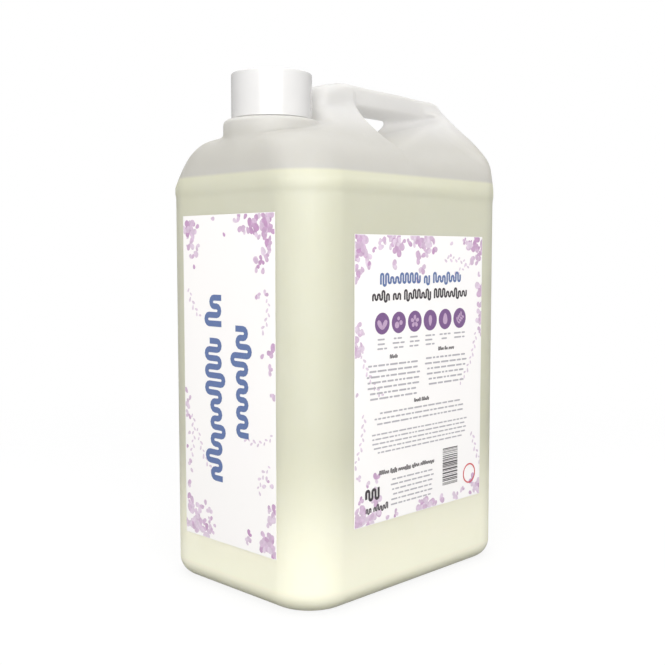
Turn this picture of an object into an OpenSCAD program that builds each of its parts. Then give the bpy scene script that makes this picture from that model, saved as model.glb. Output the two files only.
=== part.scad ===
// Five litre blow-moulded shampoo can with an integral hollow handle and a screw cap.
// Millimetres. +Z is up, the origin is at the bottom centre, the neck stands towards -X.
// The bottle is a lofted skin: rounded outlines stacked up Z, with a second one inside it.

/* [Bottle] */
// Length of the can along X, over the shoulder rim
body_w = 180; // [178:1:184]
// Depth of the can along Y, over the shoulder rim
body_d = 132; // [130:1:136]
// Height of the shoulder rim's upper edge above the base
rim_z = 233.5; // [225:0.5:245]
// Radius of the upright corners at the rim
corner_r = 28; // [26:1:30]
// Thickness of the moulded wall
wall = 1.4; // [1.0:0.1:1.6]
// How far the label panels stand back from the shoulder rim
panel_set_back = 0.5; // [0.4:0.1:1.2]
// Radius of the bottom edge
heel_r = 10; // [9:0.5:14]
// Depth of the hollow pushed up into the base
base_push_up = 1.5; // [1:0.1:3]

/* [Contents] */
// Height of the shampoo's surface above the base
fill_level = 239.5; // [150:0.5:239.5]
// Gap between the shampoo solid and the inner wall
fill_gap = 0.3; // [0.3:0.1:0.6]

/* [Neck and thread] */
// Distance of the neck's axis from the narrow front face
neck_inset = 34.5; // [34:0.1:34.6]
// Radius of the round boss that the neck stands on
boss_r = 28; // [27:0.1:28]
// Outer radius of the neck's plain wall
neck_r = 19.95; // [19.5:0.05:20]
// Radius of the pouring bore
bore_r = 17.6; // [16:0.1:18]
// Height of the neck above its boss
neck_h = 23.2; // [22.8:0.1:23.2]
// Rise of the thread in one turn
pitch = 4.2; // [4:0.1:4.4]
// How far the thread stands out of the neck's wall
thread_h = 1.3; // [1:0.05:1.3]
// Turns of thread on the neck
neck_turns = 1.5; // [1:0.25:2]

/* [Cap] */
// Outer radius of the cap
cap_r = 23.3; // [23:0.05:23.5]
// Height of the cap
cap_h = 25.7; // [25.7:0.1:26]
// Thickness of the cap's skirt
cap_wall = 1.7; // [1.5:0.05:1.7]
// Thickness of the cap's top
cap_top = 1.8; // [1.5:0.1:1.8]
// Turns of thread inside the cap
cap_turns = 1.25; // [1:0.25:1.5]
// Thickness of the foam wad in the cap
wad_t = 1.2; // [0.8:0.1:1.3]

/* [Labels] */
// Thickness of a label with its glue
label_t = 0.2; // [0.1:0.05:0.3]
// Width of the label on the narrow front face
front_label_w = 80.6; // [60:0.1:82]
// Height of the label on the narrow front face
front_label_h = 188.2; // [150:0.1:190]
// Height of the front label's middle above the base
front_label_z = 123; // [118:0.5:124]
// Width of the label on the broad side
side_label_w = 115; // [90:0.5:118]
// Height of the label on the broad side
side_label_h = 161.7; // [120:0.1:175]
// Height of the side label's middle above the base
side_label_z = 124.8; // [110:0.1:130]
// Distance of the side label's middle from the middle of the can, towards +X
side_label_x = 2.6; // [0:0.1:4]

/* [Hidden] */

natural_hdpe = [0.90, 0.89, 0.84, 0.55];
shampoo_cream = [0.92, 0.91, 0.78];
cap_white = [0.96, 0.96, 0.95];
foam_white = [0.99, 0.99, 0.99];
paper_white = [0.97, 0.96, 0.98];

half_w = body_w / 2;
half_d = body_d / 2;
// The rim's lower edge, and the foot of its undercut
rim_low_z = rim_z - 3.5;
rim_foot_z = rim_z - 5.5;

// The handle's top runs down from a peak, gently to the rear and faster to the front
peak_x = -5;
peak_z = rim_z + 65.7;
rear_x = 75;
rear_fall = 2.4;
front_x = -29;
front_fall = 5;
// The fall fades out between these heights
fall_low_z = rim_z + 33;
fall_high_z = rim_z + 57;

arc_steps = 6;
round_fn = 64;
// Overlap of shapes that are joined into one
lap = 0.01;

boss_top_z = rim_z + 38;
boss_foot_z = rim_z + 21;
boss_edge_r = 3;
neck_x = -half_w + neck_inset;
// How deep the neck is rooted in its boss, and how far a bore's cutter runs past its ends
neck_root = 1;
overrun = 5;
bead_r = 22.6;
bead_h = 1.6;
cap_bottom_z = boss_top_z + 0.6;
cap_top_z = cap_bottom_z + cap_h;
cap_inner_r = cap_r - cap_wall;
wad_top_z = cap_top_z - cap_top;
thread_start_z = boss_top_z + 9;
// Angle about the neck where both threads start
thread_start_angle = 20;
// The cap's thread bears on the underside of the neck's thread
cap_thread_drop = 1.55;
// Gap between the cap's thread and the neck's wall
thread_gap = 0.4;
// Gap between the wad and the cap's skirt
wad_gap = 0.3;
// Degrees between two cross sections of a thread
thread_step = 10;
// How deep a ridge's root is sunk into its wall
thread_root = 0.4;

// ---- Section outlines of the bottle -------------------------------------------------------

// One outline: height, front and rear ends in X, half widths at the front and the rear, and
// the corner radii at the front and the rear.
function level(z, front, rear, half_f, half_r, r_f, r_r) = [z, front, rear, half_f, half_r, r_f, r_r];

// An outline above the rim: its height over the rim, how far its front end, its rear end, and
// its sides at the front and the rear are set in, and how much its radii are smaller there
function shoulder(h, front, rear, side_f, side_r, less_f, less_r) =
    level(rim_z + h, -half_w + front, half_w - rear, half_d - side_f, half_d - side_r,
          max(corner_r - less_f, 1.5), max(corner_r - less_r, 1.5));

// The same rounded rectangle all round, set in from the rim by some distance
function even_level(z, inset) =
    let (r = max(corner_r - inset, 3))
    level(z, -half_w + inset, half_w - inset, half_d - inset, half_d - inset, r, r);

heel_levels = [
    for (a = [0 : 15 : 90])
        even_level(heel_r * (1 - cos(a)), panel_set_back + heel_r * (1 - sin(a)))
];

rim_levels = [
    even_level(rim_foot_z, panel_set_back),
    even_level(rim_low_z, 0.2),
    even_level((rim_low_z + rim_z) / 2, 0)
];

// Shoulder, front pillar and handle, from the rim to the flat of the handle's top
shoulder_levels = [
    shoulder(0, 0, 0, 0, 0, 0, 0),
    shoulder(4.5, 0.7, 0.1, 1.8, 1, 0.4, 1.2),
    shoulder(9, 1.6, 0.1, 4.1, 2.6, 1, 3),
    shoulder(17, 3.2, 0.2, 9.7, 7, 2, 9),
    shoulder(22, 5.2, 0.4, 14.6, 11.4, 3, 13),
    shoulder(26, 8.6, 0.6, 20.4, 15.6, 5, 15),
    shoulder(29, 17, 0.8, 26, 18.8, 8, 16),
    shoulder(32, 34, 1, 31, 22.2, 12, 17),
    shoulder(36, 52, 1.3, 36, 26.8, 16, 18),
    shoulder(41, 59, 1.7, 42, 32.6, 19, 19),
    shoulder(47, 60, 2.4, 47.7, 38.7, 20, 20),
    shoulder(54, 60.5, 3.6, 52, 45.4, 20, 20.5),
    shoulder(59, 61.5, 5.4, 52.2, 49.8, 20, 21),
    shoulder(62.5, 63.5, 7.5, 53.6, 52.2, 21, 22),
    shoulder(64.6, 67, 10.5, 56.6, 55.5, 23, 23.5),
    shoulder(peak_z - rim_z, 71, 14, 60, 59.5, 25, 25)
];

// A smooth curve through four neighbouring levels, at t from 0 to 1 between the middle two
function curve_point(p0, p1, p2, p3, t) =
    let (
        span = p2[0] - p1[0],
        m1 = (p2 - p0) * span / (p2[0] - p0[0]),
        m2 = (p3 - p1) * span / (p3[0] - p1[0])
    )
    p1 * (2 * t^3 - 3 * t^2 + 1) + m1 * (t^3 - 2 * t^2 + t)
        + p2 * (3 * t^2 - 2 * t^3) + m2 * (t^3 - t^2);

function smooth_levels(keys, steps) = [
    for (i = [0 : len(keys) - 2])
        for (s = [0 : steps - 1])
            curve_point(keys[max(i - 1, 0)], keys[i], keys[i + 1],
                        keys[min(i + 2, len(keys) - 1)], s / steps),
    keys[len(keys) - 1]
];

skin_levels = concat(heel_levels, rim_levels, smooth_levels(shoulder_levels, 2));

// The level at height z, between the levels of a stack
function level_at(levels, z) =
    let (
        i = max([for (k = [0 : len(levels) - 2]) if (levels[k][0] <= z) k]),
        t = (z - levels[i][0]) / (levels[i + 1][0] - levels[i][0])
    )
    levels[i] * (1 - t) + levels[i + 1] * t;

// A level moved inwards by a wall thickness
function inner_level(l, t) =
    level(l[0], l[1] + t, l[2] - t, l[3] - t, l[4] - t, max(l[5] - t, 1.5), max(l[6] - t, 1.5));

// ---- Points of an outline -----------------------------------------------------------------

function smooth_step(a, b, v) = let (t = min(max((v - a) / (b - a), 0), 1)) t * t * (3 - 2 * t);

function fall(x, z) =
    let (share = x > peak_x ? rear_fall * (x - peak_x) / (rear_x - peak_x)
                            : front_fall * (peak_x - x) / (peak_x - front_x))
    share * smooth_step(fall_low_z, fall_high_z, z);

function lowered(x, y, z) = [x, y, z - fall(x, z)];

function corner(x, y, r, from, z) = [
    for (i = [0 : arc_steps])
        let (a = from + 90 * i / arc_steps) lowered(x + r * cos(a), y + r * sin(a), z)
];

function outline(l) =
    let (
        z = l[0],
        mid_x = (peak_x + l[2] - l[6]) / 2,
        mid_y = (l[3] + l[4]) / 2
    )
    concat(
        corner(l[2] - l[6], l[4] - l[6], l[6], 0, z),
        [lowered(mid_x, mid_y, z), lowered(peak_x, l[3], z)],
        corner(l[1] + l[5], l[3] - l[5], l[5], 90, z),
        corner(l[1] + l[5], l[5] - l[3], l[5], 180, z),
        [lowered(peak_x, -l[3], z), lowered(mid_x, -mid_y, z)],
        corner(l[2] - l[6], l[6] - l[4], l[6], 270, z)
    );

// A closed skin through outlines that are stacked from the bottom up
module loft(levels) {
    rings = [for (l = levels) outline(l)];
    n = len(rings[0]);
    last = len(rings) - 1;
    low_hub = n * len(rings);
    top_hub = low_hub + 1;
    hubs = [lowered(peak_x, 0, levels[0][0]), lowered(peak_x, 0, levels[last][0])];
    points = concat([for (r = rings) each r], hubs);
    sides = [
        for (k = [0 : last - 1])
            for (i = [0 : n - 1])
                let (a = k * n + i, b = k * n + (i + 1) % n)
                    each [[a, a + n, b], [b, a + n, b + n]]
    ];
    ends = [
        for (i = [0 : n - 1])
            each [[low_hub, i, (i + 1) % n], [top_hub, last * n + (i + 1) % n, last * n + i]]
    ];
    polyhedron(points, concat(sides, ends));
}

// ---- Shapes cut into the bottle -----------------------------------------------------------

// A convex hollow through points, with round edges; grow makes it larger all over
module round_hollow(points, r, grow) {
    hull()
        for (p = points)
            translate(p) sphere(r + grow, $fn = 16);
}

// The slanting panel beside the handle, between the shoulder and the bar; side is 1 or -1
module side_panel_hollow(side, grow) {
    foot = [54.5, 23.4];
    head = [19, 49.8];
    bar_side = [16.4, 54];
    clear = [72, 71];
    front = 3;
    panel_end = 64;
    open_end = 74;
    round_hollow([
        for (x = [front, panel_end], p = [foot, head, bar_side])
            [x, side * p[0], rim_z + p[1]],
        for (x = [front, open_end], p = [[clear[0], foot[1]], clear, [26, clear[1]]])
            [x, side * p[0], rim_z + p[1]]
    ], 2.5, grow);
}

// Half of the hand hole: its floor rises inwards and to the rear
module hand_hollow(side, grow) {
    front = 4;
    under_bar = 45.6;
    under_edge = 48.6;
    open_rear = 74;
    outer = 70;
    round_hollow([
        for (p = [[front, 0, 32.2], [front, 0, under_bar], [38, 0, under_bar], [34.5, 0, 41.6],
                  [front, 16, under_edge], [66, 16, under_edge],
                  [front, outer, 23.6], [front, outer, under_edge], [open_rear, outer, under_edge]])
            [p[0], side * p[1], rim_z + p[2]]
    ], 3, grow);
}

module hollows(grow) {
    for (side = [-1, 1]) {
        side_panel_hollow(side, grow);
        hand_hollow(side, grow);
    }
}

module base_hollow(grow) {
    margin = 34 - grow;
    slope = 3;
    loft([even_level(-5, margin - slope), even_level(0, margin - 0.5),
          even_level(base_push_up + grow, margin + slope)]);
}

// ---- Neck ---------------------------------------------------------------------------------

// The round boss: radius r, top at z, with a rounded edge
module boss(r, z) {
    translate([neck_x, 0, 0])
        rotate_extrude($fn = round_fn)
            union() {
                translate([0, boss_foot_z]) square([r, z - boss_edge_r - boss_foot_z]);
                translate([0, z - boss_edge_r - lap]) square([r - boss_edge_r, boss_edge_r + lap]);
                translate([r - boss_edge_r, z - boss_edge_r]) circle(boss_edge_r, $fn = 24);
            }
}

// A ridge along a helix, from a height at the angle start; root and crest are radii, and the
// ridge grows out of its root over the first and last steps
module helix_ridge(root, crest, z0, start, turns) {
    root_half = 0.95;
    crest_half = 0.45;
    run_out = 4;
    count = round(turns * 360 / thread_step);
    points = [
        for (k = [0 : count])
            let (
                share = min(1, (min(k, count - k) + 1.5) / run_out),
                tip = root + (crest - root) * share,
                a = start + k * thread_step,
                z = z0 + pitch * k * thread_step / 360
            )
            each [
                [root * cos(a), root * sin(a), z - root_half],
                [tip * cos(a), tip * sin(a), z - crest_half],
                [tip * cos(a), tip * sin(a), z + crest_half],
                [root * cos(a), root * sin(a), z + root_half]
            ]
    ];
    flip = crest < root;
    sides = [
        for (k = [0 : count - 1])
            for (j = [0 : 3])
                let (p = 4 * k + j, q = 4 * k + (j + 1) % 4)
                    each [[p, q, q + 4], [p, q + 4, p + 4]]
    ];
    e = 4 * count;
    faces = concat(sides, [[0, 2, 1], [0, 3, 2], [e, e + 1, e + 2], [e, e + 2, e + 3]]);
    polyhedron(points, flip ? [for (f = faces) [f[2], f[1], f[0]]] : faces);
}

module neck() {
    translate([neck_x, 0, 0]) {
        translate([0, 0, boss_top_z - neck_root]) {
            cylinder(h = neck_h + neck_root, r = neck_r, $fn = round_fn);
            cylinder(h = bead_h, r = bead_r, $fn = round_fn);
        }
        helix_ridge(neck_r - thread_root, neck_r + thread_h, thread_start_z, thread_start_angle, neck_turns);
    }
}

// ---- Nodes --------------------------------------------------------------------------------

module bottle_outside() {
    difference() {
        loft(skin_levels);
        hollows(0);
        base_hollow(0);
    }
    boss(boss_r, boss_top_z);
    neck();
}

inside_levels = [
    for (l = skin_levels)
        let (low = l[0] < heel_r, top = l[0] > rim_z)
            inner_level([
                low ? wall + l[0] * (heel_r - wall) / heel_r
                    : top ? l[0] - wall * (l[0] - rim_z) / (peak_z - rim_z) : l[0],
                l[1], l[2], l[3], l[4], l[5], l[6]
            ], wall)
];

module bottle_inside() {
    difference() {
        loft(inside_levels);
        hollows(wall);
        base_hollow(wall);
    }
    boss(boss_r - wall, boss_top_z - wall);
    translate([neck_x, 0, boss_top_z - overrun])
        cylinder(h = neck_h + 2 * overrun, r = bore_r, $fn = round_fn);
}

module bottle_body() {
    color(natural_hdpe)
        difference() {
            bottle_outside();
            bottle_inside();
        }
}

module shampoo_fill() {
    margin = wall + fill_gap;
    heel = [
        for (a = [0 : 15 : 90])
            even_level(margin + (heel_r - margin) * (1 - cos(a)),
                       panel_set_back + margin + heel_r * (1 - sin(a)))
    ];
    above = [for (l = skin_levels) if (l[0] > heel_r && l[0] < fill_level) inner_level(l, margin)];
    top = inner_level(level_at(skin_levels, fill_level), margin);
    color(shampoo_cream)
        difference() {
            loft(concat(heel, above, [top]));
            base_hollow(margin);
        }
}

module screw_cap() {
    edge = 0.8;
    color(cap_white)
        translate([neck_x, 0, 0]) {
            difference() {
                rotate_extrude($fn = round_fn)
                    union() {
                        translate([0, cap_bottom_z]) square([cap_r, cap_h - edge]);
                        translate([0, cap_top_z - edge - lap]) square([cap_r - edge, edge + lap]);
                        translate([cap_r - edge, cap_top_z - edge]) circle(edge, $fn = 20);
                    }
                translate([0, 0, cap_bottom_z - overrun])
                    cylinder(h = cap_h - cap_top + overrun, r = cap_inner_r, $fn = round_fn);
            }
            helix_ridge(cap_inner_r + thread_root, neck_r + thread_gap, thread_start_z - cap_thread_drop,
                        thread_start_angle, cap_turns);
        }
}

module cap_liner() {
    color(foam_white)
        translate([neck_x, 0, wad_top_z - wad_t])
            cylinder(h = wad_t, r = cap_inner_r - wad_gap, $fn = round_fn);
}

// A rectangle with round corners, drawn about its middle
module label_outline(w, h) {
    r = 1.5;
    square([w - 2 * r, h], center = true);
    square([w, h - 2 * r], center = true);
    for (x = [-1, 1], y = [-1, 1])
        translate([x * (w / 2 - r), y * (h / 2 - r)]) circle(r, $fn = 24);
}

module front_label() {
    color(paper_white)
        translate([-half_w + panel_set_back, 0, front_label_z])
            rotate([90, 0, -90])
                linear_extrude(label_t) label_outline(front_label_w, front_label_h);
}

module side_label() {
    color(paper_white)
        translate([side_label_x, -half_d + panel_set_back, side_label_z])
            rotate([90, 0, 0])
                linear_extrude(label_t) label_outline(side_label_w, side_label_h);
}

bottle_body();
shampoo_fill();
screw_cap();
cap_liner();
front_label();
side_label();
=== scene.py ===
"""Looks of a five litre shampoo can: a translucent blow-moulded bottle with a hollow handle,
a smooth white screw cap and two printed labels.

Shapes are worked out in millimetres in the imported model's frame and are scaled to metres as
each mesh is made. The bottle is sculpted as a distance field and then cut to a thin shell, the
closure is turned on a lathe, and the labels' artwork is laid on as thin films of ink.
"""

import itertools
import logging
import math
import random
from collections.abc import Iterable, Iterator, Sequence
from dataclasses import dataclass
from enum import Enum

import bmesh
import bpy
import numpy as np
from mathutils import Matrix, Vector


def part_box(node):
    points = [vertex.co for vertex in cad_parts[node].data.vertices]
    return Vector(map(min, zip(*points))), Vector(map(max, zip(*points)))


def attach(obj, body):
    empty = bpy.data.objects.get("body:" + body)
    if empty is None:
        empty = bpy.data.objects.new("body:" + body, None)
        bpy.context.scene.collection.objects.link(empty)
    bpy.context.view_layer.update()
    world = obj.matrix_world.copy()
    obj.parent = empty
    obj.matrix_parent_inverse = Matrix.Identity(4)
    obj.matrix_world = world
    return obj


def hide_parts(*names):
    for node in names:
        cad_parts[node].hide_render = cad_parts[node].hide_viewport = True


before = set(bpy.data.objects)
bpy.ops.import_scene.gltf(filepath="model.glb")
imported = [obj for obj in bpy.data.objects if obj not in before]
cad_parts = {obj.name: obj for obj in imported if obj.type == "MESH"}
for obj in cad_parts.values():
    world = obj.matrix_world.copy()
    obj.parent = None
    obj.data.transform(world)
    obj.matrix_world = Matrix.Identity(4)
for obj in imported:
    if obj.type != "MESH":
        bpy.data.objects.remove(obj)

import openvdb
from mathutils import Vector

MM = 0.001

log = logging.getLogger("shampoo_can")

Point = tuple[float, float, float]
Spot = tuple[float, float]
Span = tuple[float, float]
Colour = tuple[float, float, float]

UNLIT: Colour = (0.0, 0.0, 0.0)


class Body(Enum):
    """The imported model's bodies that pieces ride on."""

    BOTTLE = "bottle"
    LINER = "liner"
    CAP = "cap"


class Slot(Enum):
    """The record's material slots, by name."""

    PLASTIC = "natural_hdpe"
    CAP = "cap_plastic"
    FOAM = "liner_foam"
    PAPER = "label_paper"


# ---- Shader expressions ----------------------------------------------------------------------


class Signal:
    """A shader socket whose arithmetic adds Math nodes to its tree."""

    def __init__(self, recipe: "Recipe", socket: bpy.types.NodeSocket) -> None:
        """Wraps an output socket.

        Args:
            recipe: The material that the socket belongs to.
            socket: The output to be read.
        """
        self.recipe = recipe
        self.socket = socket

    def _math(self, operation: str, first: object, second: object) -> "Signal":
        """One Math node on two values, either of which may be a number."""
        return self.recipe.node("ShaderNodeMath", {"operation": operation}, {0: first, 1: second})

    def __add__(self, other: object) -> "Signal":
        """self + other."""
        return self._math("ADD", self, other)

    def __radd__(self, other: object) -> "Signal":
        """other + self."""
        return self._math("ADD", other, self)

    def __sub__(self, other: object) -> "Signal":
        """self - other."""
        return self._math("SUBTRACT", self, other)

    def __rsub__(self, other: object) -> "Signal":
        """other - self."""
        return self._math("SUBTRACT", other, self)

    def __mul__(self, other: object) -> "Signal":
        """self * other."""
        return self._math("MULTIPLY", self, other)

    def step_between(self, low: float, high: float) -> "Signal":
        """A smooth rise from 0 at low to 1 at high.

        Args:
            low: The value below which the result is 0.
            high: The value above which the result is 1.

        Returns:
            The risen share.
        """
        return self.recipe.node(
            "ShaderNodeMapRange",
            {"interpolation_type": "SMOOTHSTEP"},
            {"Value": self, "From Min": low, "From Max": high},
        )


class Recipe:
    """A material being made: its node tree, its Principled shader and its object coordinates."""

    def __init__(self, name: str) -> None:
        """Starts a material.

        Args:
            name: The material's name.
        """
        self.material = bpy.data.materials.new(name)
        self.material.use_nodes = True
        self.tree = self.material.node_tree
        self.shader = self.tree.nodes["Principled BSDF"]

    def node(
        self,
        kind: str,
        settings: dict[str, object] | None = None,
        inputs: dict[str | int, object] | None = None,
        output: str | int = 0,
    ) -> Signal:
        """Adds a node.

        Args:
            kind: The node's type.
            settings: Properties that are set first, such as a Math node's operation.
            inputs: Values or signals for the node's sockets, by name or place.
            output: The output that is read.

        Returns:
            The chosen output.
        """
        made = self.tree.nodes.new(kind)
        for key, value in (settings or {}).items():
            setattr(made, key, value)
        for key, value in (inputs or {}).items():
            self.feed(made.inputs[key], value)
        return Signal(self, made.outputs[output])

    def feed(self, socket: bpy.types.NodeSocket, value: object) -> None:
        """Links a signal to a socket, or sets a plain value on it."""
        if isinstance(value, Signal):
            self.tree.links.new(value.socket, socket)
        elif isinstance(value, tuple) and len(value) == 3 and socket.type == "RGBA":
            socket.default_value = (*value, 1.0)
        else:
            socket.default_value = value

    def place(self) -> Signal:
        """Object coordinates, which are the frame's own, in metres."""
        return self.node("ShaderNodeTexCoord", output="Object")

    def height(self) -> Signal:
        """Height above the base, in metres."""
        return self.node("ShaderNodeSeparateXYZ", inputs={0: self.place()}, output="Z")

    def noise(self, scale: float, detail: float = 2.0, stretch: Point = (1.0, 1.0, 1.0)) -> Signal:
        """Soft noise over the surface.

        Args:
            scale: Waves in a metre.
            detail: Finer octaves.
            stretch: How much denser the waves are along each axis.

        Returns:
            Noise about one half.
        """
        where = self.node(
            "ShaderNodeVectorMath", {"operation": "MULTIPLY"}, {0: self.place(), 1: stretch}
        )
        return self.node(
            "ShaderNodeTexNoise", inputs={"Vector": where, "Scale": scale, "Detail": detail}
        )

    def blend(self, share: object, low: object, high: object) -> Signal:
        """A mix of two colours.

        Args:
            share: How much of high.
            low: A colour or a signal.
            high: A colour or a signal.

        Returns:
            The mixed colour.
        """
        return self.node(
            "ShaderNodeMix", {"data_type": "RGBA"}, {0: share, 6: low, 7: high}, output=2
        )

    def bump(self, height: Signal, depth: float, strength: float = 1.0) -> Signal:
        """A bumped normal.

        Args:
            height: The relief, from 0 to 1.
            depth: The relief's depth in metres.
            strength: The share of the bump that shows.

        Returns:
            The normal.
        """
        return self.node(
            "ShaderNodeBump", inputs={"Height": height, "Distance": depth, "Strength": strength}
        )

    def finish(self, **values: object) -> bpy.types.Material:
        """Sets the Principled shader's sockets and closes the material.

        Args:
            **values: Socket values, with spaces written as underscores.

        Returns:
            The material.
        """
        for key, value in values.items():
            self.feed(self.shader.inputs[key.replace("_", " ")], value)
        return self.material


# ---- Finishes --------------------------------------------------------------------------------


@dataclass(frozen=True)
class CanPlastic:
    """Natural polyethylene: greyish white where it is empty, cream where shampoo stands behind.

    The empty wall has a painted glow, a stand-in for light that passes through it, strongest at
    the thin handle. The cream has a painted highlight towards the base, paler and glowing, while
    the rim band it stands on keeps the darker cream as painted shade. Heights are in metres.
    """

    fill_level: float
    level_blur: float = 0.0012
    # The spans below place painted light: a painted highlight and glow on the cream towards the base,
    # painted shade on the rim band under it, and the rise of the painted glow at the handle.
    base_glow_span: Span = (0.010, 0.095)
    rim_shade_span: Span = (0.002, 0.013)
    handle_glow_span: Span = (0.258, 0.284)
    empty: Colour = (0.344, 0.334, 0.318)
    # The next two colours are a painted glow on the empty wall and on the handle, which stands in for
    # light that passes through the plastic.
    through: Colour = (0.130, 0.126, 0.102)
    handle_wall_glow: Colour = (0.262, 0.263, 0.268)
    filled: Colour = (0.645, 0.630, 0.455)
    # The next two colours are the cream painted paler towards the base, a painted highlight, and the
    # painted glow added there.
    heel: Colour = (0.930, 0.905, 0.660)
    base_glow_colour: Colour = (0.105, 0.098, 0.068)
    roughness: float = 0.46

    def material(self) -> bpy.types.Material:
        """Makes the bottle's plastic."""
        recipe = Recipe("can_plastic")
        height = recipe.height()
        level, blur = self.fill_level, self.level_blur
        wet = 1.0 - height.step_between(level - blur, level + blur)
        # Painted light: glow is highest just above the rim band and fades out upwards; on the rim band
        # it falls to 0, which leaves the darker cream there as painted shade.
        glow = (1.0 - height.step_between(*self.base_glow_span)) * height.step_between(*self.rim_shade_span)
        cloud = recipe.noise(16.0, 3.0)
        cream = recipe.blend(glow, self.filled, self.heel)
        tone = recipe.blend(wet, self.empty, cream)
        paler = recipe.blend(cloud.step_between(0.3, 0.8) * 0.08, tone, (0.88, 0.87, 0.82))
        # Painted glow: the empty wall glows, more at the handle, and the cream glows towards the base.
        high = height.step_between(*self.handle_glow_span)
        dry_light = recipe.blend(high, self.through, self.handle_wall_glow)
        light = recipe.blend(wet, dry_light, recipe.blend(glow, UNLIT, self.base_glow_colour))
        ripple = recipe.noise(90.0, 2.0, (1.0, 1.0, 0.45))
        grain = recipe.noise(2400.0, 2.0)
        relief = ripple * 0.85 + grain * 0.15
        return recipe.finish(
            Base_Color=paler,
            Emission_Color=light,
            Emission_Strength=1.0,
            Roughness=self.roughness + (grain - 0.5) * 0.10 + (cloud - 0.5) * 0.06,
            Normal=recipe.bump(relief, 0.00022),
            IOR=1.50,
            Specular_IOR_Level=0.4,
            Subsurface_Weight=0.6,
            Subsurface_Radius=(1.0, 0.95, 0.80),
            Subsurface_Scale=0.010,
        )


@dataclass(frozen=True)
class CapPlastic:
    """Smooth white polypropylene with a faint turned grain on its skirt."""

    colour: Colour = (0.625, 0.617, 0.608)
    roughness: float = 0.20

    def material(self) -> bpy.types.Material:
        """Makes the cap's plastic."""
        recipe = Recipe("cap_plastic")
        cloud = recipe.noise(60.0, 2.0)
        grain = recipe.noise(900.0, 2.0, (1.0, 1.0, 0.25))
        return recipe.finish(
            Base_Color=recipe.blend(cloud * 0.12, self.colour, (0.90, 0.90, 0.89)),
            Roughness=self.roughness + (cloud - 0.5) * 0.08 + (grain - 0.5) * 0.06,
            Normal=recipe.bump(grain, 0.00002),
            IOR=1.49,
            Subsurface_Weight=0.15,
            Subsurface_Radius=(1.0, 0.95, 0.90),
            Subsurface_Scale=0.0015,
        )


@dataclass(frozen=True)
class LinerFoam:
    """Foamed polyethylene with fine closed cells."""

    colour: Colour = (0.86, 0.86, 0.85)

    def material(self) -> bpy.types.Material:
        """Makes the liner's foam."""
        recipe = Recipe("liner_foam")
        cells = recipe.node(
            "ShaderNodeTexVoronoi", inputs={"Vector": recipe.place(), "Scale": 1600.0}
        )
        return recipe.finish(
            Base_Color=recipe.blend(cells * 0.3, self.colour, (0.74, 0.74, 0.73)),
            Roughness=0.62 + cells * 0.2,
            Normal=recipe.bump(cells, 0.0001),
            IOR=1.50,
        )


@dataclass(frozen=True)
class ShampooLiquid:
    """Pearly cream shampoo with slow swirls and tiny bubbles."""

    colour: Colour = (0.80, 0.79, 0.60)
    pearl: Colour = (0.90, 0.89, 0.76)

    def material(self) -> bpy.types.Material:
        """Makes the liquid's surface."""
        recipe = Recipe("shampoo_liquid")
        swirl = recipe.node(
            "ShaderNodeTexWave",
            {"wave_type": "RINGS"},
            {"Vector": recipe.place(), "Scale": 9.0, "Distortion": 6.0, "Detail": 3.0},
        )
        bubbles = recipe.node(
            "ShaderNodeTexVoronoi", inputs={"Vector": recipe.place(), "Scale": 420.0}
        )
        return recipe.finish(
            Base_Color=recipe.blend(swirl.step_between(0.2, 0.9), self.colour, self.pearl),
            Roughness=0.10 + swirl * 0.08,
            Normal=recipe.bump(bubbles.step_between(0.0, 0.35), 0.0002, 0.6),
            IOR=1.38,
            Coat_Weight=0.4,
            Coat_Roughness=0.05,
        )


@dataclass(frozen=True)
class LabelFilm:
    """White satin label stock with a faint tooth."""

    colour: Colour = (0.880, 0.860, 0.845)
    tint: Colour = (0.86, 0.83, 0.87)

    def material(self) -> bpy.types.Material:
        """Makes the label's face stock."""
        recipe = Recipe("label_film")
        tooth = recipe.noise(3200.0, 2.0)
        wash = recipe.noise(14.0, 2.0)
        tinted = wash.step_between(0.45, 0.8) * 0.3
        return recipe.finish(
            Base_Color=recipe.blend(tinted, self.colour, self.tint),
            Roughness=0.42 + (tooth - 0.5) * 0.12,
            Normal=recipe.bump(tooth, 0.00001),
            IOR=1.48,
        )


@dataclass(frozen=True)
class WatercolourInk:
    """Thin lilac washes: each dab has its own depth of tone, and the ink pools in uneven patches."""

    pale: Colour = (0.760, 0.640, 0.750)
    deep: Colour = (0.520, 0.290, 0.500)

    def material(self) -> bpy.types.Material:
        """Makes the washes' ink."""
        recipe = Recipe("watercolour_ink")
        tone = recipe.node("ShaderNodeAttribute", {"attribute_name": "tone"}, output="Fac")
        pool = recipe.noise(420.0, 3.0)
        depth = tone * 0.9 + pool * 0.3 - 0.12
        return recipe.finish(
            Base_Color=recipe.blend(depth, self.pale, self.deep),
            Alpha=0.80 + pool.step_between(0.35, 0.7) * 0.16,
            Roughness=0.42 + (pool - 0.5) * 0.1,
            IOR=1.48,
        )


@dataclass(frozen=True)
class FlatInk:
    """One solid printed colour, slightly uneven as screen ink is."""

    name: str
    colour: Colour
    sheen_roughness: float = 0.36

    def material(self) -> bpy.types.Material:
        """Makes the solid ink."""
        recipe = Recipe(self.name)
        grain = recipe.noise(1500.0, 2.0)
        lighter = tuple(min(1.0, c * 1.25 + 0.02) for c in self.colour)
        return recipe.finish(
            Base_Color=recipe.blend(grain.step_between(0.3, 0.8) * 0.5, self.colour, lighter),
            Roughness=self.sheen_roughness + (grain - 0.5) * 0.12,
            IOR=1.48,
        )


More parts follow.
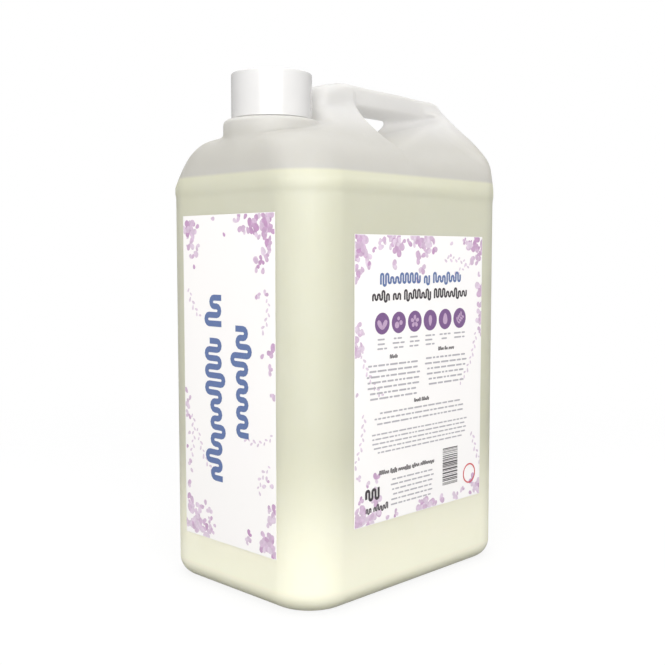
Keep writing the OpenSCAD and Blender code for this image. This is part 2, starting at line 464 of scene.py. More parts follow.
@dataclass(frozen=True)
class StudioFloor:
    """A white floor that melts into the surround away from the bottle.

    lift is the light that the camera sees it give, and glow the light that it throws on pieces.
    """

    colour: Colour = (0.14, 0.14, 0.14)
    fibre_colour: Colour = (0.16, 0.16, 0.16)
    lift: Colour = (0.84, 0.84, 0.84)
    glow: Colour = (0.22, 0.22, 0.22)
    solid_to: float = 0.30
    gone_at: float = 0.85

    def material(self) -> bpy.types.Material:
        """Makes the floor's paper, which looks white but throws little light up."""
        recipe = Recipe("studio_floor")
        away = recipe.node("ShaderNodeVectorMath", {"operation": "LENGTH"}, {0: recipe.place()}, 1)
        fibre = recipe.noise(300.0, 2.0)
        seen = recipe.node("ShaderNodeLightPath", output="Is Camera Ray")
        return recipe.finish(
            Base_Color=recipe.blend(fibre * 0.1, self.colour, self.fibre_colour),
            Alpha=1.0 - away.step_between(self.solid_to, self.gone_at),
            Roughness=0.6,
            Specular_IOR_Level=0.0,
            Emission_Color=recipe.blend(seen, self.glow, self.lift),
            Emission_Strength=1.0,
        )


# ---- Mesh making -----------------------------------------------------------------------------


def make_object(
    name: str, mesh: bpy.types.Mesh, smooth_angle: float | None = None
) -> bpy.types.Object:
    """Links a mesh into the scene as an object.

    Args:
        name: The object's name.
        mesh: Its mesh, in metres.
        smooth_angle: Edges sharper than this, in degrees, stay sharp; None shades it flat.

    Returns:
        The object.
    """
    made = bpy.data.objects.new(name, mesh)
    bpy.context.scene.collection.objects.link(made)
    if smooth_angle is not None:
        smooth(mesh, smooth_angle)
    return made


def smooth(mesh: bpy.types.Mesh, sharp_angle: float) -> None:
    """Shades a mesh smooth, apart from edges sharper than an angle in degrees."""
    mesh.shade_smooth()
    mesh.set_sharp_from_angle(angle=math.radians(sharp_angle))


def mesh_from(name: str, points: Iterable[Point], faces: Iterable[Sequence[int]]) -> bpy.types.Mesh:
    """Makes a mesh from points in millimetres.

    Args:
        name: The mesh's name.
        points: Its vertices.
        faces: Vertex numbers of each face.

    Returns:
        The mesh, in metres.
    """
    mesh = bpy.data.meshes.new(name)
    mesh.from_pydata([tuple(c * MM for c in p) for p in points], [], [tuple(f) for f in faces])
    mesh.update()
    return mesh


def close_mesh(name: str, mesh: bmesh.types.BMesh) -> bpy.types.Mesh:
    """Turns a finished bmesh into a mesh whose faces all look outwards, and frees it."""
    bmesh.ops.recalc_face_normals(mesh, faces=mesh.faces)
    made = bpy.data.meshes.new(name)
    mesh.to_mesh(made)
    mesh.free()
    return made


def lathe(name: str, profile: Sequence[Spot], axis_x: float, steps: int = 160) -> bpy.types.Mesh:
    """Turns a closed outline of (radius, height) about an upright axis.

    Args:
        name: The mesh's name.
        profile: The outline, anticlockwise with radius to the right; radius 0 lies on the axis.
        axis_x: Where the axis stands in X.
        steps: Steps round a full turn.

    Returns:
        A closed mesh.
    """
    mesh = bmesh.new()
    rows = []
    for radius, height in profile:
        if radius <= 0.0:
            rows.append([mesh.verts.new((axis_x * MM, 0.0, height * MM))] * steps)
            continue
        rows.append([
            mesh.verts.new((
                (axis_x + radius * math.cos(2 * math.pi * i / steps)) * MM,
                radius * math.sin(2 * math.pi * i / steps) * MM,
                height * MM,
            ))
            for i in range(steps)
        ])
    for row, above in zip(rows, rows[1:] + rows[:1]):
        for i in range(steps):
            j = (i + 1) % steps
            corners = list(dict.fromkeys((row[i], row[j], above[j], above[i])))
            if len(corners) > 2:
                mesh.faces.new(corners)
    return close_mesh(name, mesh)


def arc(centre: Spot, radius: float, start: float, end: float, steps: int = 6) -> list[Spot]:
    """Points of an arc, in degrees, ends included."""
    angles = [math.radians(start + (end - start) * i / steps) for i in range(steps + 1)]
    return [(centre[0] + radius * math.cos(a), centre[1] + radius * math.sin(a)) for a in angles]


@dataclass(frozen=True)
class ThreadRidge:
    """One turn after another of a round-backed thread.

    The root lies inside its wall, and both ends run out into the wall.
    """

    axis_x: float
    root: float
    crest: float
    foot: float
    turns: float
    pitch: float = 4.2
    start: float = 20.0
    half_root: float = 0.95
    half_crest: float = 0.42
    step: float = 5.0
    run_out: float = 40.0
    lead_in: float = 6.0
    shoulder_height: float = 0.85
    shoulder_spread: float = 0.12
    flat_share: float = 0.55

    def mesh(self, name: str) -> bpy.types.Mesh:
        """Builds the ridge.

        Args:
            name: The mesh's name.

        Returns:
            A closed mesh.
        """
        count = round(self.turns * 360 / self.step)
        half_shoulder = self.half_crest + self.shoulder_spread
        half_flat = self.half_crest * self.flat_share
        mesh = bmesh.new()
        rings = []
        for k in range(count + 1):
            angle = math.radians(self.start + k * self.step)
            middle = self.foot + self.pitch * k * self.step / 360
            share = min(1.0, (min(k, count - k) * self.step + self.lead_in) / self.run_out)
            tip = self.root + (self.crest - self.root) * math.sin(share * math.pi / 2)
            shoulder = self.root + (tip - self.root) * self.shoulder_height
            section = [
                (self.root, -self.half_root), (shoulder, -half_shoulder), (tip, -half_flat),
                (tip, half_flat), (shoulder, half_shoulder), (self.root, self.half_root),
            ]
            rings.append([
                mesh.verts.new((
                    (self.axis_x + r * math.cos(angle)) * MM,
                    r * math.sin(angle) * MM,
                    (middle + h) * MM,
                ))
                for r, h in section
            ])
        for ring, following in zip(rings, rings[1:]):
            for i in range(len(ring)):
                j = (i + 1) % len(ring)
                mesh.faces.new((ring[i], ring[j], following[j], following[i]))
        mesh.faces.new(rings[0])
        mesh.faces.new(rings[-1])
        return close_mesh(name, mesh)


def carve(target: bpy.types.Object, tool: bpy.types.Mesh, operation: str) -> None:
    """Joins a closed mesh to an object, or cuts it out, and keeps the result.

    Args:
        target: The object that changes.
        tool: The closed mesh.
        operation: UNION or DIFFERENCE.
    """
    helper = make_object("cutting_tool", tool)
    modifier = target.modifiers.new("carve", "BOOLEAN")
    modifier.operation = operation
    modifier.object = helper
    modifier.solver = "MANIFOLD"
    graph = bpy.context.evaluated_depsgraph_get()
    result = bpy.data.meshes.new_from_object(target.evaluated_get(graph))
    target.modifiers.clear()
    old, target.data = target.data, result
    bpy.data.meshes.remove(old)
    bpy.data.objects.remove(helper)


# ---- Distance fields -------------------------------------------------------------------------


def soft_union(a: np.ndarray, b: np.ndarray, radius: float) -> np.ndarray:
    """Joins two fields with a fillet.

    Args:
        a: A distance field, negative inside.
        b: Another.
        radius: The fillet's reach in millimetres.

    Returns:
        The joined field.
    """
    share = np.clip(0.5 + 0.5 * (b - a) / radius, 0.0, 1.0)
    return b + (a - b) * share - radius * share * (1.0 - share)


def soft_overlap(a: np.ndarray, b: np.ndarray, radius: float) -> np.ndarray:
    """Keeps what two fields share, with rounded edges."""
    return -soft_union(-a, -b, radius)


def rounded(across: np.ndarray, up: np.ndarray, radius: float | np.ndarray) -> np.ndarray:
    """Distance to a corner rounded to a radius, from the distances past its two centre lines."""
    outside = np.hypot(np.maximum(across, 0), np.maximum(up, 0))
    return np.minimum(np.maximum(across, up), 0) + outside - radius


def smooth_step(low: float, high: float, value: np.ndarray) -> np.ndarray:
    """A smooth rise from 0 at low to 1 at high."""
    share = np.clip((value - low) / (high - low), 0.0, 1.0)
    return share * share * (3.0 - 2.0 * share)


@dataclass(frozen=True)
class Grid:
    """Sample points for a field, in millimetres."""

    low: Point
    high: Point
    spacing: float

    def axes(self) -> tuple[np.ndarray, np.ndarray, np.ndarray]:
        """The three coordinates, shaped so that they spread over the grid."""
        spans = [
            np.arange(a, b + self.spacing, self.spacing, dtype=np.float32)
            for a, b in zip(self.low, self.high)
        ]
        return spans[0][:, None, None], spans[1][None, :, None], spans[2][None, None, :]

    def skin(self, name: str, values: np.ndarray, level: float = 0.0) -> bpy.types.Mesh:
        """Draws the surface where a field has one value.

        Args:
            name: The mesh's name.
            values: The field on this grid, negative inside.
            level: The value on the surface.

        Returns:
            A closed mesh of quads, in metres.
        """
        volume = openvdb.FloatGrid(background=float(self.spacing * 4))
        reach = self.spacing * 3.5
        volume.copyFromArray(np.clip(values, level - reach, level + reach).astype(np.float32))
        points, quads = volume.convertToQuads(isovalue=level)
        mesh = bpy.data.meshes.new(name)
        placed = (points * self.spacing + np.array(self.low, np.float32)) * MM
        mesh.vertices.add(len(placed))
        mesh.vertices.foreach_set("co", placed.astype(np.float32).ravel())
        mesh.loops.add(quads.size)
        mesh.loops.foreach_set("vertex_index", quads.astype(np.int32).ravel())
        mesh.polygons.add(len(quads))
        mesh.polygons.foreach_set("loop_start", np.arange(0, quads.size, 4, dtype=np.int32))
        mesh.update(calc_edges=True)
        mesh.validate()
        return mesh


@dataclass(frozen=True)
class Section:
    """The bottle's outline at one height: a rounded trapezium, in millimetres."""

    height: float
    front: float
    rear: float
    half_front: float
    half_rear: float
    radius_front: float
    radius_rear: float


class SectionStack:
    """Outlines stacked up the bottle, with a smooth curve through them."""

    def __init__(self, sections: Sequence[Section]) -> None:
        """Lays out the stack.

        Args:
            sections: The outlines, from the bottom up.
        """
        self.rows = np.array([list(vars(s).values()) for s in sections], np.float64)

    def _slopes(self) -> np.ndarray:
        """Slopes at the outlines that keep the curve between them from overshooting."""
        rows = self.rows
        spans = np.diff(rows[:, :1], axis=0)
        rises = np.diff(rows, axis=0) / spans
        below, above = rises[:-1], rises[1:]
        weight_below = spans[:-1] + 2 * spans[1:]
        weight_above = 2 * spans[:-1] + spans[1:]
        same_way = below * above > 0
        safe_below, safe_above = np.where(same_way, below, 1.0), np.where(same_way, above, 1.0)
        mean = (weight_below + weight_above) / (
            weight_below / safe_above + weight_above / safe_below
        )
        inner = np.where(same_way, mean, 0.0)
        return np.vstack([rises[:1], inner, rises[-1:]])

    def at(self, heights: np.ndarray) -> list[np.ndarray]:
        """Reads the outlines at any heights.

        Args:
            heights: The heights.

        Returns:
            Front, rear, two half widths and two radii, each shaped as heights.
        """
        rows = self.rows
        z = rows[:, 0]
        slope = self._slopes()
        i = np.clip(np.searchsorted(z, heights, side="right") - 1, 0, len(z) - 2)
        span = z[i + 1] - z[i]
        t = np.clip((heights - z[i]) / span, 0.0, 1.0)
        curves = []
        for c in range(1, rows.shape[1]):
            start = rows[i, c] * (2 * t**3 - 3 * t**2 + 1) + slope[i, c] * span * (t**3 - 2 * t**2 + t)
            end = rows[i + 1, c] * (3 * t**2 - 2 * t**3) + slope[i + 1, c] * span * (t**3 - t**2)
            curves.append((start + end).astype(np.float32))
        return curves


# ---- The bottle ------------------------------------------------------------------------------


@dataclass
class Bottle:
    """The blow-moulded bottle: walls, shoulder rim, neck and integral handle, in millimetres."""

    half_length: float = 90.0
    half_depth: float = 66.0
    corner_radius: float = 28.0
    set_back: float = 0.5
    heel_radius: float = 10.0
    push_up: float = 1.5
    push_up_radius: float = 10.0
    push_up_edge: float = 1.5
    standing_ring: float = 33.0
    wall: float = 1.4
    rim_top: float = 233.5
    peak_x: float = -5.0
    peak_height: float = 299.1
    rear_x: float = 75.0
    rear_fall: float = 2.4
    front_x: float = -29.0
    front_fall: float = 5.0
    fall_rise: Span = (33.0, 57.0)
    corner_change: Span = (-20.0, 70.0)
    neck_x: float = -55.5
    boss_foot: float = 11.0
    boss_edge: float = 3.0
    boss_radius: float = 28.0
    boss_top: float = 271.5
    neck_radius: float = 19.95
    bore_radius: float = 17.6
    lip_height: float = 294.7
    bead_radius: float = 22.6
    thread_root: float = 0.3
    thread_depth: float = 1.3
    thread_foot: float = 9.0
    outer_spacing: float = 1.25
    inner_spacing: float = 2.5

    def sections(self) -> list[Section]:
        """The outlines from the base to the flat of the handle's top."""
        even = self._even
        heel = [
            even(
                self.heel_radius * (1 - math.cos(math.radians(a))),
                self.set_back + self.heel_radius * (1 - math.sin(math.radians(a))),
            )
            for a in range(0, 91, 10)
        ]
        top = self.rim_top
        rim = [
            even(top - 110.0, self.set_back),
            even(top - 5.8, self.set_back),
            even(top - 4.8, self.set_back * 0.9),
            even(top - 3.4, self.set_back * 0.15),
            even(top - 2.4, 0.0),
        ]
        shoulder = [
            Section(top, -90, 90, 66, 66, 28, 28),
            Section(top + 4.5, -89.3, 89.9, 64.2, 65.0, 27.6, 26.8),
            Section(top + 9, -88.4, 89.9, 61.9, 63.4, 27, 25),
            Section(top + 17, -86.8, 89.8, 56.3, 59.0, 26, 19),
            Section(top + 22, -84.8, 89.6, 51.4, 54.6, 25, 15),
            Section(top + 26, -81.4, 89.4, 45.6, 50.4, 23, 13),
            Section(top + 29, -73, 89.2, 40, 47.2, 20, 12),
            Section(top + 32, -56, 89, 35, 43.8, 16, 11),
            Section(top + 36, -38, 88.7, 30, 39.2, 12, 10),
            Section(top + 41, -31, 88.3, 24, 33.4, 9, 9),
            Section(top + 47, -30, 87.6, 18.3, 27.3, 8, 8),
            Section(top + 54, -29.5, 86.4, 14, 20.6, 8, 7.5),
            Section(top + 59, -28.5, 84.6, 13.8, 16.2, 8, 7),
            Section(top + 62.5, -26.5, 82.5, 12.4, 13.8, 7, 6),
            Section(top + 64.6, -23, 79.5, 9.4, 10.5, 5, 4.5),
            Section(self.peak_height, -18, 76, 5, 6, 3, 3),
        ]
        return heel + rim + shoulder

    def _even(self, height: float, inset: float) -> Section:
        """The rim's outline set in all round by one distance."""
        radius = max(self.corner_radius - inset, 3.0)
        length = self.half_length - inset
        depth = self.half_depth - inset
        return Section(height, -length, length, depth, depth, radius, radius)

    def _fall(self, x: np.ndarray, z: np.ndarray) -> np.ndarray:
        """How far the handle's top has run down from its peak."""
        rear = self.rear_fall * (x - self.peak_x) / (self.rear_x - self.peak_x)
        front = self.front_fall * (self.peak_x - x) / (self.peak_x - self.front_x)
        low, high = self.fall_rise
        share = smooth_step(self.rim_top + low, self.rim_top + high, z)
        return np.where(x > self.peak_x, rear, front) * share

    def _block(self, x: np.ndarray, y: np.ndarray, z: np.ndarray) -> np.ndarray:
        """The bottle before its pockets are pressed in and its boss is added."""
        level = z + self._fall(x, z)
        level = z + self._fall(x, level)
        front, rear, half_f, half_r, r_f, r_r = SectionStack(self.sections()).at(level)
        along = smooth_step(*self.corner_change, x)
        straight = np.clip((x - self.peak_x) / (rear - r_r - self.peak_x), 0.0, 1.0)
        half = half_f + (half_r - half_f) * straight
        radius = r_f + (r_r - r_f) * along
        across_x = np.abs(x - (front + rear) / 2) - (rear - front) / 2 + radius
        across_y = np.abs(y) - half + radius
        flat = rounded(across_x, across_y, radius)
        capped = soft_overlap(flat, level - self.peak_height, 1.0)
        return np.maximum(capped, -z)

    def _pockets(self, x: np.ndarray, y: np.ndarray, z: np.ndarray) -> np.ndarray:
        """The slanting recess on each side of the handle, and the hand hole.

        The floor and the web behind the hand hole are sloping planes, and each is divided by about
        the length of its slope, so that the field stays near a distance. The underside of the
        handle's bar is rounded across.
        """
        out = np.abs(y)
        rise = z - self.rim_top
        foot_out, foot_rise = 52.8, 20.6
        slope_run, slope_rise = 36.0, 26.5
        half_bar, bar_side = 14.0, 13.2
        panel_front, panel_rear = 0.5, 69.0
        hand_front, hand_rear = 1.2, 76.0
        length = math.hypot(slope_run, slope_rise)
        above = ((rise - foot_rise) * slope_run - (foot_out - out) * slope_rise) / length
        lean = 0.16 * (out - half_bar)
        panel = soft_overlap(-above, bar_side - out, 3.0)
        panel = soft_overlap(panel, panel_front - x, 2.0)
        panel = soft_overlap(panel, x - panel_rear - lean, 8.0)
        floor = (28.2 + 0.296 * x - 0.119 * out - rise) / 1.06
        web = (x - 41.0 - 0.5 * (rise - 46.0) - 2.2 * out) / 2.46
        hand = soft_overlap(floor, web, 6.0)
        hand = soft_overlap(hand, hand_front - x, 3.5)
        hand = soft_overlap(hand, x - hand_rear, 8.0)
        under_bar = rise - 48.4 - 0.022 * np.minimum(out, half_bar) ** 2 + 0.01 * x
        hand = soft_overlap(hand, under_bar, 3.0)
        return soft_union(panel, hand, 2.0)

    def _boss(self, x: np.ndarray, y: np.ndarray, z: np.ndarray) -> np.ndarray:
        """The round boss under the neck, with a rounded edge."""
        edge = self.boss_edge
        radial = np.hypot(x - self.neck_x, y) - self.boss_radius + edge
        upward = z - self.boss_top + edge
        return np.maximum(rounded(radial, upward, edge), self.rim_top + self.boss_foot - z)

    def _push_up(self, x: np.ndarray, y: np.ndarray, z: np.ndarray) -> np.ndarray:
        """The shallow hollow pressed up into the base."""
        radius = self.push_up_radius
        across_x = np.abs(x) - (self.half_length - self.standing_ring) + radius
        across_y = np.abs(y) - (self.half_depth - self.standing_ring) + radius
        hollow = rounded(across_x, across_y, radius)
        return soft_overlap(hollow, z - self.push_up, self.push_up_edge)

    def field(self, grid: Grid) -> np.ndarray:
        """The bottle's distance field.

        Args:
            grid: Where it is sampled.

        Returns:
            Distances that are true close to the skin, negative inside.
        """
        x, y, z = grid.axes()
        solid = soft_overlap(self._block(x, y, z), -self._pockets(x, y, z), 3.0)
        solid = soft_union(solid, self._boss(x, y, z), 5.0)
        solid = soft_overlap(solid, -self._push_up(x, y, z), 1.0)
        steepness = np.sqrt(sum(g * g for g in np.gradient(solid, grid.spacing)))
        return solid / np.clip(steepness, 0.5, None)

    def _grid(self, spacing: float) -> Grid:
        """A grid that clears the bottle by a few samples."""
        spare = 3.5 * spacing
        return Grid(
            (-self.half_length - spare, -self.half_depth - spare, -spare),
            (self.half_length + spare, self.half_depth + spare, self.peak_height + spare),
            spacing,
        )

    def _neck(self) -> bpy.types.Mesh:
        """The neck's outside, with its bead and a rounded lip."""
        foot = self.boss_top - 3.0
        bevel, bead_edge, cove, lip_edge = 0.4, 0.6, 0.5, 0.7
        lip = self.lip_height
        outer = self.neck_radius
        profile = [
            (0.0, foot),
            (self.bead_radius - bevel, foot),
            (self.bead_radius, foot + bevel),
            *arc((self.bead_radius - bead_edge, self.boss_top), bead_edge, 0, 90),
            (outer + cove, self.boss_top + bead_edge),
            (outer, self.boss_top + 1.1),
            *arc((outer - lip_edge, lip - lip_edge), lip_edge, 0, 90),
            (0.0, lip),
        ]
        return lathe("neck_outside", profile, self.neck_x, 128)

    def _bore(self) -> bpy.types.Mesh:
        """The pouring bore, opened out a little at the lip."""
        overrun, flare, bevel = 6.0, 2.5, 0.6
        foot, top = self.boss_top - overrun, self.lip_height + overrun
        bore = self.bore_radius
        profile = [
            (0.0, foot),
            (bore + flare, foot),
            *arc((bore + flare, self.boss_top + 1.0), flare, 270, 180)[1:],
            (bore, self.lip_height - bevel),
            (bore + bevel, self.lip_height + 0.1),
            (bore + bevel, top),
            (0.0, top),
        ]
        return lathe("pouring_bore", profile, self.neck_x, 128)

    def build(self) -> bpy.types.Object:
        """Sculpts the shell and dresses it.

        Returns:
            The bottle's object.
        """
        outer_grid = self._grid(self.outer_spacing)
        shell = make_object("can_shell", outer_grid.skin("can_shell", self.field(outer_grid)))
        carve(shell, self._neck(), "UNION")
        root, crest = self.neck_radius - self.thread_root, self.neck_radius + self.thread_depth
        foot = self.boss_top + self.thread_foot
        ridge = ThreadRidge(self.neck_x, root, crest, foot, turns=1.5)
        carve(shell, ridge.mesh("neck_thread"), "UNION")
        inner_grid = self._grid(self.inner_spacing)
        cavity = make_object(
            "cavity", inner_grid.skin("cavity", self.field(inner_grid), -self.wall)
        )
        carve(cavity, self._bore(), "UNION")
        carve(shell, cavity.data.copy(), "DIFFERENCE")
        bpy.data.objects.remove(cavity)
        smooth(shell.data, 55)
        return shell


# ---- The closure -----------------------------------------------------------------------------


@dataclass
class Closure:
    """The smooth screw cap and its foam liner, in millimetres."""

    axis_x: float = -55.5
    bottom: float = 272.1
    top: float = 297.8
    radius: float = 23.3
    inner_radius: float = 21.6
    top_thickness: float = 1.8
    liner_thickness: float = 1.2
    thread_root: float = 0.3
    thread_foot: float = 6.85
    thread_crest: float = 20.35
    lip_print: Span = (17.6, 19.9)
    liner_edge: float = 0.25

    def cap(self) -> bpy.types.Object:
        """The cap: a skirt with a crisp rounded shoulder, a shallow dish on top and a thread."""
        inside_top = self.top - self.top_thickness
        shoulder, inside_edge, skirt_edge = 0.9, 0.8, 0.35
        profile = [
            (0.0, inside_top),
            (self.inner_radius - inside_edge, inside_top),
            *arc((self.inner_radius - inside_edge, inside_top - inside_edge), inside_edge, 90, 0),
            (self.inner_radius, self.bottom + 0.5),
            (self.inner_radius + 0.3, self.bottom),
            *arc((self.radius - skirt_edge, self.bottom + skirt_edge), skirt_edge, 270, 360),
            (self.radius, self.top - shoulder),
            *arc((self.radius - shoulder, self.top - shoulder), shoulder, 0, 90, 8)[1:],
            (self.radius - 2.4, self.top),
            (self.radius - 2.9, self.top - 0.25),
            (2.6, self.top - 0.3),
            (2.2, self.top - 0.12),
            (0.0, self.top - 0.1),
        ]
        cap = make_object("closure_cap", lathe("closure_cap", profile, self.axis_x, 192))
        root, foot = self.inner_radius + self.thread_root, self.bottom + self.thread_foot
        ridge = ThreadRidge(self.axis_x, root, self.thread_crest, foot, turns=1.25)
        carve(cap, ridge.mesh("cap_thread"), "UNION")
        smooth(cap.data, 40)
        return cap

    def liner(self) -> bpy.types.Object:
        """The foam wad, with the ring that the neck's lip has pressed into it."""
        high = self.top - self.top_thickness
        low = high - self.liner_thickness
        outer = self.inner_radius - 0.3
        print_in, print_out = self.lip_print
        face, pressed, edge = low + 0.05, low + 0.3, self.liner_edge
        profile = [
            (0.0, face),
            (print_in - 0.8, face),
            (print_in, pressed),
            (print_out, pressed),
            (print_out + 0.6, face),
            *arc((outer - edge, pressed), edge, 270, 360),
            *arc((outer - edge, high - edge), edge, 0, 90),
            (0.0, high),
        ]
        return make_object("closure_liner", lathe("closure_liner", profile, self.axis_x, 128), 40)


# ---- Labels and their print ------------------------------------------------------------------


class Face(Enum):
    """The panel that a label is stuck to."""

    FRONT = "front"
    SIDE = "side"


@dataclass(frozen=True)
class Panel:
    """A label's place on the bottle: (u, v) from its middle, u to the reader's right, v up."""

    face: Face
    middle: Point
    width: float
    height: float
    flat_half: float
    corner_radius: float = 27.5

    def point(self, u: float, v: float, lift: float) -> Point:
        """Puts a spot of the label on the bottle.

        Args:
            u: Distance to the reader's right of the middle.
            v: Distance above the middle.
            lift: Height off the bottle's wall.

        Returns:
            The point, in millimetres.
        """
        past = max(abs(u) - self.flat_half, 0.0) / self.corner_radius
        reach = self.corner_radius + lift
        flat = max(min(u, self.flat_half), -self.flat_half)
        along = flat + math.copysign(math.sin(past) * reach, u)
        away = lift - (1.0 - math.cos(past)) * reach
        if self.face is Face.FRONT:
            return (self.middle[0] - away, self.middle[1] - along, self.middle[2] + v)
        return (self.middle[0] + along, self.middle[1] - away, self.middle[2] + v)


class InkLayer:
    """Flat closed films of ink on one panel, gathered into a single mesh."""

    thickness = 0.02
    edge_margin = 0.3
    shortest_edge = 0.02
    speck = 0.05

    def __init__(self, name: str, panel: Panel, height: float) -> None:
        """Starts a layer.

        Args:
            name: The piece's name.
            panel: The label that it is printed on.
            height: Height of the layer's underside off the bottle's wall.
        """
        self.name = name
        self.panel = panel
        self.height = height
        self.points: list[Point] = []
        self.faces: list[list[int]] = []
        self.tones: list[float] = []

    def add(self, outline: Sequence[Spot], tone: float = 0.5, lift: float = 0.0) -> None:
        """Adds one film.

        Args:
            outline: Its outline, anticlockwise.
            tone: Depth of its colour, from 0 to 1.
            lift: Extra height, so that films that cross don't share a plane.
        """
        outline = self._clipped(outline)
        if not outline:
            return
        first = len(self.points)
        count = len(outline)
        base = self.height + lift
        for level in (base, base + self.thickness):
            self.points += [self.panel.point(u, v, level) for u, v in outline]
        self.tones += [tone] * (2 * count)
        self.faces.append([first + i for i in reversed(range(count))])
        self.faces.append([first + count + i for i in range(count)])
        for i in range(count):
            j = (i + 1) % count
            self.faces.append([first + i, first + j, first + count + j, first + count + i])

    def _clipped(self, outline: Sequence[Spot]) -> list[Spot]:
        """Cuts an outline off at the label's edge.

        Args:
            outline: The outline, anticlockwise.

        Returns:
            What is left of it, or an empty list if that is less than a speck.
        """
        half_u = self.panel.width / 2 - self.edge_margin
        half_v = self.panel.height / 2 - self.edge_margin
        kept: list[Spot] = []
        for u, v in outline:
            spot = (min(max(u, -half_u), half_u), min(max(v, -half_v), half_v))
            if not kept or math.dist(spot, kept[-1]) > self.shortest_edge:
                kept.append(spot)
        if len(kept) > 1 and math.dist(kept[0], kept[-1]) <= self.shortest_edge:
            kept.pop()
        area = sum(a[0] * b[1] - b[0] * a[1] for a, b in zip(kept, kept[1:] + kept[:1])) / 2
        return kept if len(kept) > 2 and abs(area) > self.speck else []

    def pill(self, u: float, v: float, width: float, height: float, tone: float = 0.5) -> None:
        """Adds a bar with round ends, about its middle.

        Args:
            u: The bar's middle.
            v: The bar's middle.
            width: Size along u.
            height: Size along v.
            tone: Depth of its colour.
        """
        r = min(width, height) * 0.48
        x, y = width / 2 - r, height / 2 - r
        corners = ((x, y, 0), (-x, y, 90), (-x, -y, 180), (x, -y, 270))
        outline = [s for cx, cy, a in corners for s in arc((u + cx, v + cy), r, a, a + 90, 3)]
        self.add(outline, tone)

    def disc(self, u: float, v: float, radius: float, tone: float = 0.5, steps: int = 48) -> None:
        """Adds a round spot."""
        self.add(arc((u, v), radius, 0, 360 - 360 / steps, steps - 1), tone)

    def drop(
        self, u: float, v: float, length: float, width: float, turn: float, tone: float = 0.5,
        lift: float = 0.0,
    ) -> None:
        """Adds a petal or drop: round at its far end and drawn in at its root.

        Args:
            u: Where the root is.
            v: Where the root is.
            length: From the root to the tip.
            width: At its widest.
            turn: The direction it points in, in degrees.
            tone: Depth of its colour.
            lift: Extra height.
        """
        steps = 14
        outline = []
        ca, sa = math.cos(math.radians(turn)), math.sin(math.radians(turn))
        for i in range(steps):
            a = 2 * math.pi * i / steps
            along = length * (0.5 - 0.5 * math.cos(a))
            side = width * 0.5 * math.sin(a) * (0.72 + 0.28 * (1 - math.cos(a)))
            outline.append((u + along * ca + side * sa, v + along * sa - side * ca))
        self.add(outline, tone, lift)

    def ribbon(self, line: Sequence[Spot], width: float, tone: float = 0.5) -> None:
        """Adds a stroke of even width along a line.

        Args:
            line: The stroke's middle, from its start to its end.
            width: The stroke's width.
            tone: Depth of its colour.
        """
        first, count = len(self.points), len(line)
        middle = np.array(line)
        ahead = np.gradient(middle, axis=0)
        ahead /= np.linalg.norm(ahead, axis=1, keepdims=True)
        aside = np.stack((-ahead[:, 1], ahead[:, 0]), axis=1) * (width / 2)
        for level in (self.height, self.height + self.thickness):
            for edge in (middle + aside, middle - aside):
                self.points += [self.panel.point(float(u), float(v), level) for u, v in edge]
        self.tones += [tone] * (4 * count)
        low_left, low_right, left, right = (first + k * count for k in range(4))
        for i in range(count - 1):
            self.faces += [
                [right + i, right + i + 1, left + i + 1, left + i],
                [low_left + i, low_left + i + 1, low_right + i + 1, low_right + i],
                [left + i, left + i + 1, low_left + i + 1, low_left + i],
                [low_right + i, low_right + i + 1, right + i + 1, right + i],
            ]
        end = count - 1
        self.faces.append([left, low_left, low_right, right])
        self.faces.append([right + end, low_right + end, low_left + end, left + end])

    def build(self) -> bpy.types.Object:
        """Makes the layer's object.

        Returns:
            The object, with the films' tones as an attribute.
        """
        mesh = mesh_from(self.name, self.points, self.faces)
        tones = mesh.attributes.new("tone", "FLOAT", "POINT")
        tones.data.foreach_set("value", self.tones)
        return make_object(self.name, mesh)


@dataclass(frozen=True)
class Spray:
    """A drift of watercolour blossoms that thins out away from its root.

    root is the spot it grows from, reach the signed spread along u and v, blossoms the number of
    clusters of petals, and depth the strength of their colour.
    """

    root: Spot
    reach: Spot
    blossoms: int
    depth: float = 0.5


@dataclass(frozen=True)
class Twig:
    """A faint bending twig: where it starts, its heading and bend in degrees, and its leaves."""

    root: Spot
    heading: float
    bend: float
    leaves: int


